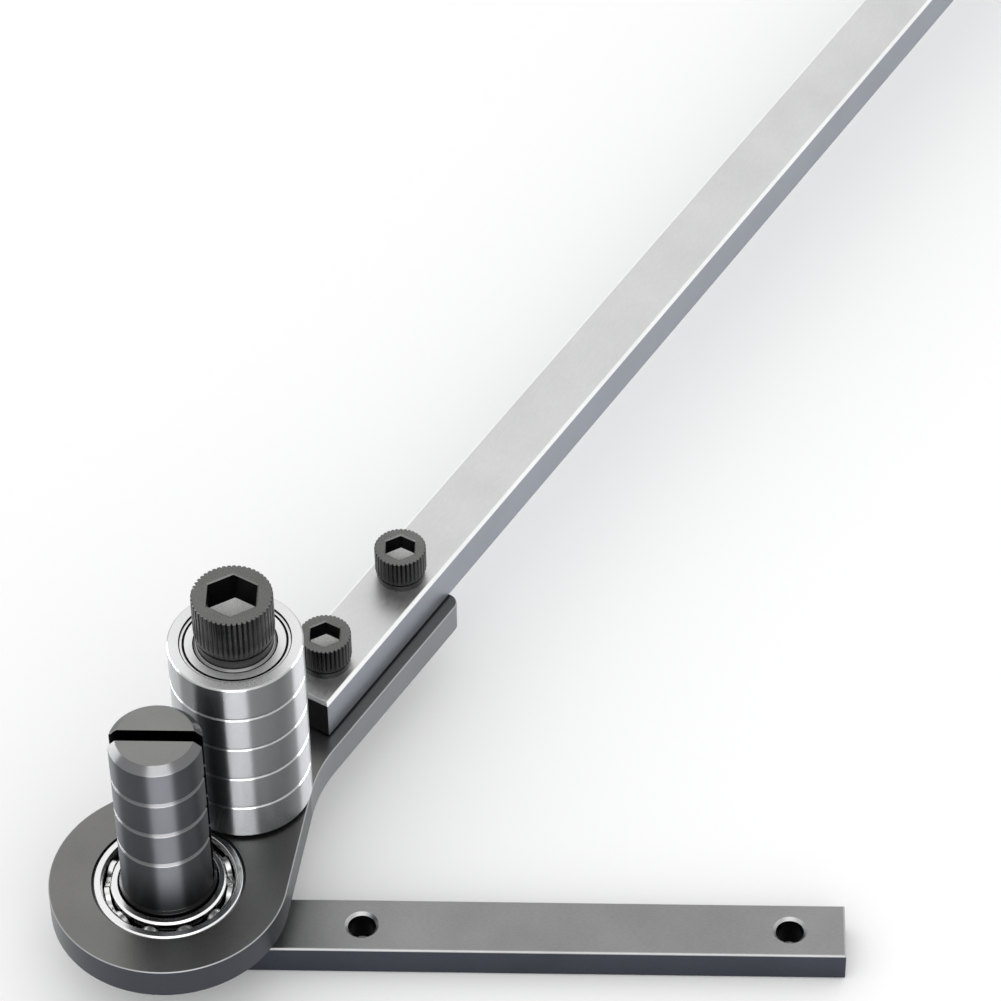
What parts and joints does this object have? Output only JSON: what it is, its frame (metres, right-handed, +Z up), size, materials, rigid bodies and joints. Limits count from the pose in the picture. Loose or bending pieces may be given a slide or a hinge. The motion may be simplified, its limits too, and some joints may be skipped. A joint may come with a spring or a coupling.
{
  "type": "manual bar bender",
  "caption": "Manual bar bender: slotted post on a flat base bar, swinging arm plate with a stack of ball-bearing rollers and a long flat handle.",
  "frame": {"origin": "the post's axis at the base bar's underside, where the bar lies on the bench", "axes": "+Z up along the post, +X along the base bar towards its bolt holes; the arm rests at 60 degrees from +X"},
  "size_m": [0.3401, 0.5529, 0.1149],
  "materials": {
    "base_steel": "dark grey satin steel",
    "post_steel": "dark blued steel, turned",
    "plate_steel": "dark grey satin steel",
    "handle_steel": "light satin steel",
    "screw_black": "black oxide",
    "bearing_ring": "ground bearing steel",
    "roller_chrome": "mirror polished",
    "shield_steel": "bright pressed steel",
    "ball_steel": "polished",
    "cage_steel": "pressed steel",
    "washer_steel": "plain steel"
  },
  "bodies": {
    "base": {"base_bar": "base_steel", "post": "post_steel", "centre_inner_ring": "bearing_ring"},
    "arm": {"arm_plate": "plate_steel", "centre_outer_ring": "bearing_ring", "handle_bar": "handle_steel", "handle_screws": "screw_black", "handle_lock_washers": "screw_black", "roller_screw": "screw_black", "roller_lock_washer": "screw_black", "roller_foot_washer": "washer_steel", "roller_shims": "washer_steel", "roller_1_inner_ring": "bearing_ring", "roller_2_inner_ring": "bearing_ring", "roller_3_inner_ring": "bearing_ring", "roller_4_inner_ring": "bearing_ring", "roller_5_inner_ring": "bearing_ring"},
    "centre_balls_and_cage": {"centre_cage": "cage_steel", "centre_balls": "ball_steel"},
    "roller_1": {"roller_1_outer_ring": "roller_chrome", "roller_1_shields": "shield_steel"},
    "roller_1_balls_and_cage": {"roller_1_cage": "cage_steel", "roller_1_balls": "ball_steel"},
    "roller_2": {"roller_2_outer_ring": "roller_chrome", "roller_2_shields": "shield_steel"},
    "roller_2_balls_and_cage": {"roller_2_cage": "cage_steel", "roller_2_balls": "ball_steel"},
    "roller_3": {"roller_3_outer_ring": "roller_chrome", "roller_3_shields": "shield_steel"},
    "roller_3_balls_and_cage": {"roller_3_cage": "cage_steel", "roller_3_balls": "ball_steel"},
    "roller_4": {"roller_4_outer_ring": "roller_chrome", "roller_4_shields": "shield_steel"},
    "roller_4_balls_and_cage": {"roller_4_cage": "cage_steel", "roller_4_balls": "ball_steel"},
    "roller_5": {"roller_5_outer_ring": "roller_chrome", "roller_5_shields": "shield_steel"},
    "roller_5_balls_and_cage": {"roller_5_cage": "cage_steel", "roller_5_balls": "ball_steel"}
  },
  "joints": [
    {"name": "arm_swing", "type": "hinge", "parent": "base", "child": "arm", "pos_m": [0, 0, 0.0305], "axis": [0, 0, 1], "continuous": true},
    {"name": "centre_cage_turn", "type": "hinge", "parent": "base", "child": "centre_balls_and_cage", "pos_m": [0, 0, 0.026], "axis": [0, 0, 1], "continuous": true},
    {"name": "roller_1_spin", "type": "hinge", "parent": "arm", "child": "roller_1", "pos_m": [0.02075, 0.03594, 0.0378], "axis": [0, 0, 1], "continuous": true},
    {"name": "roller_1_cage_turn", "type": "hinge", "parent": "arm", "child": "roller_1_balls_and_cage", "pos_m": [0.02075, 0.03594, 0.0378], "axis": [0, 0, 1], "continuous": true},
    {"name": "roller_2_spin", "type": "hinge", "parent": "arm", "child": "roller_2", "pos_m": [0.02075, 0.03594, 0.0507], "axis": [0, 0, 1], "continuous": true},
    {"name": "roller_2_cage_turn", "type": "hinge", "parent": "arm", "child": "roller_2_balls_and_cage", "pos_m": [0.02075, 0.03594, 0.0507], "axis": [0, 0, 1], "continuous": true},
    {"name": "roller_3_spin", "type": "hinge", "parent": "arm", "child": "roller_3", "pos_m": [0.02075, 0.03594, 0.0636], "axis": [0, 0, 1], "continuous": true},
    {"name": "roller_3_cage_turn", "type": "hinge", "parent": "arm", "child": "roller_3_balls_and_cage", "pos_m": [0.02075, 0.03594, 0.0636], "axis": [0, 0, 1], "continuous": true},
    {"name": "roller_4_spin", "type": "hinge", "parent": "arm", "child": "roller_4", "pos_m": [0.02075, 0.03594, 0.0765], "axis": [0, 0, 1], "continuous": true},
    {"name": "roller_4_cage_turn", "type": "hinge", "parent": "arm", "child": "roller_4_balls_and_cage", "pos_m": [0.02075, 0.03594, 0.0765], "axis": [0, 0, 1], "continuous": true},
    {"name": "roller_5_spin", "type": "hinge", "parent": "arm", "child": "roller_5", "pos_m": [0.02075, 0.03594, 0.0894], "axis": [0, 0, 1], "continuous": true},
    {"name": "roller_5_cage_turn", "type": "hinge", "parent": "arm", "child": "roller_5_balls_and_cage", "pos_m": [0.02075, 0.03594, 0.0894], "axis": [0, 0, 1], "continuous": true}
  ],
  "couplings": [
    {"joint": "centre_cage_turn", "follows": "arm_swing", "ratio": 0.57065},
    {"joint": "roller_1_cage_turn", "follows": "roller_1_spin", "ratio": 0.621},
    {"joint": "roller_2_cage_turn", "follows": "roller_2_spin", "ratio": 0.621},
    {"joint": "roller_3_cage_turn", "follows": "roller_3_spin", "ratio": 0.621},
    {"joint": "roller_4_cage_turn", "follows": "roller_4_spin", "ratio": 0.621},
    {"joint": "roller_5_cage_turn", "follows": "roller_5_spin", "ratio": 0.621}
  ]
}
